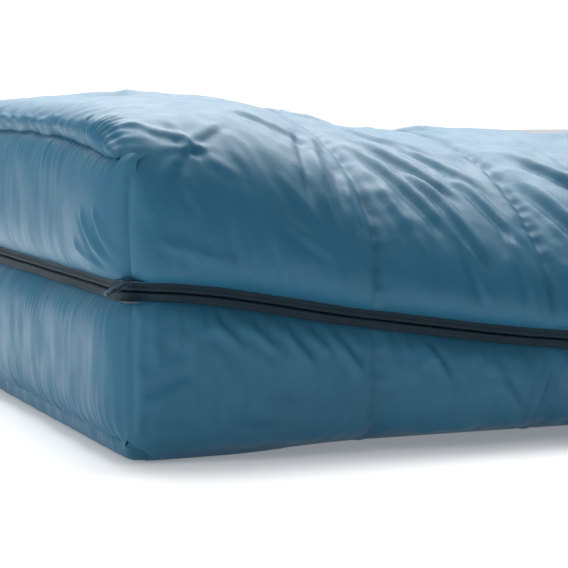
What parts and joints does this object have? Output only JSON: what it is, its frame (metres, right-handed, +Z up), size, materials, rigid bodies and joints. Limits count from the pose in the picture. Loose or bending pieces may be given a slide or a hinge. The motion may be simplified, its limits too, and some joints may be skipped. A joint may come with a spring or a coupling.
{
  "type": "camp quilt",
  "caption": "Two-layer synthetic camp quilt with a boxed foot: padded cover zipped to a padded base along one side and round the foot, ribbon loops at the foot corners.",
  "frame": {"origin": "centre of the underside, on the ground plane", "axes": "+X from the boxed foot to the open head, +Y from the zipped side to the sewn side, +Z up"},
  "size_m": [1.9898, 0.8073, 0.34],
  "materials": {
    "shell_fabric": "satin coated woven",
    "liner_fabric": "soft matte woven",
    "filling": "lofty fibre batt",
    "zip_tape": "dense ribbed woven",
    "zip_coil": "moulded coil",
    "zip_metal": "satin dark coated",
    "ribbon": "narrow woven ribbon",
    "hem_fabric": "folded shell fabric",
    "grip_patch": "hook and loop pile",
    "stiff_tape": "stiff woven tape"
  },
  "bodies": {
    "base": {"base_outer_shell": "shell_fabric", "base_insulation": "filling", "base_liner": "liner_fabric", "foot_lower_outer_shell": "shell_fabric", "foot_lower_insulation": "filling", "foot_lower_liner": "liner_fabric", "lower_zip_tape": "zip_tape", "lower_zip_coil": "zip_coil", "lower_top_stop": "zip_metal", "zip_retainer_box": "zip_metal", "anti_snag_strip": "stiff_tape", "base_head_binding": "hem_fabric", "far_side_seam": "stiff_tape"},
    "cover": {"cover_outer_shell": "shell_fabric", "cover_insulation": "filling", "cover_liner": "liner_fabric", "foot_upper_outer_shell": "shell_fabric", "foot_upper_insulation": "filling", "foot_upper_liner": "liner_fabric", "upper_zip_tape": "zip_tape", "upper_zip_coil": "zip_coil", "upper_top_stop": "zip_metal", "zip_insertion_pin": "zip_metal", "draft_tube_cover": "liner_fabric", "draft_tube_filling": "filling", "cover_head_binding": "hem_fabric", "tab_loop_patch": "grip_patch"},
    "near_loop": {"near_foot_loop": "ribbon"},
    "far_loop": {"far_foot_loop": "ribbon"},
    "main_slider": {"main_slider_body": "zip_metal", "main_slider_bridge": "zip_metal"},
    "main_pull": {"main_pull_tab": "zip_metal"},
    "foot_slider": {"foot_slider_body": "zip_metal", "foot_slider_bridge": "zip_metal"},
    "foot_pull": {"foot_pull_tab": "zip_metal"},
    "closure_tab": {"zip_closure_tab": "hem_fabric", "tab_hook_patch": "grip_patch"}
  },
  "joints": [
    {"name": "cover_hinge", "type": "hinge", "parent": "base", "child": "cover", "pos_m": [0, 0.405, 0.1425], "axis": [-0.9997, 0, 0.0229], "range_deg": [0, 170]},
    {"name": "main_slider_slide", "type": "slide", "parent": "base", "child": "main_slider", "axis": [-1, 0, 0], "range_m": [0, 1.35]},
    {"name": "main_pull_swing", "type": "hinge", "parent": "main_slider", "child": "main_pull", "pos_m": [0.9425, -0.40375, 0.097], "axis": [0, 0, 1], "range_deg": [0, 165]},
    {"name": "foot_slider_slide", "type": "slide", "parent": "base", "child": "foot_slider", "axis": [0, -1, 0], "range_m": [0, 0.66]},
    {"name": "foot_pull_swing", "type": "hinge", "parent": "foot_slider", "child": "foot_pull", "pos_m": [-0.98625, 0.334, 0.165], "axis": [0, 0, -1], "range_deg": [0, 165]},
    {"name": "near_loop_swing", "type": "hinge", "parent": "cover", "child": "near_loop", "pos_m": [-0.97232, -0.38982, 0.179], "axis": [0, 0, 1], "range_deg": [-30, 80]},
    {"name": "far_loop_swing", "type": "hinge", "parent": "cover", "child": "far_loop", "pos_m": [-0.97232, 0.38982, 0.179], "axis": [0, 0, -1], "range_deg": [-30, 80]},
    {"name": "closure_tab_hinge", "type": "hinge", "parent": "base", "child": "closure_tab", "pos_m": [0.9665, -0.4036, 0.077], "axis": [1, 0, 0], "range_deg": [0, 170]}
  ]
}
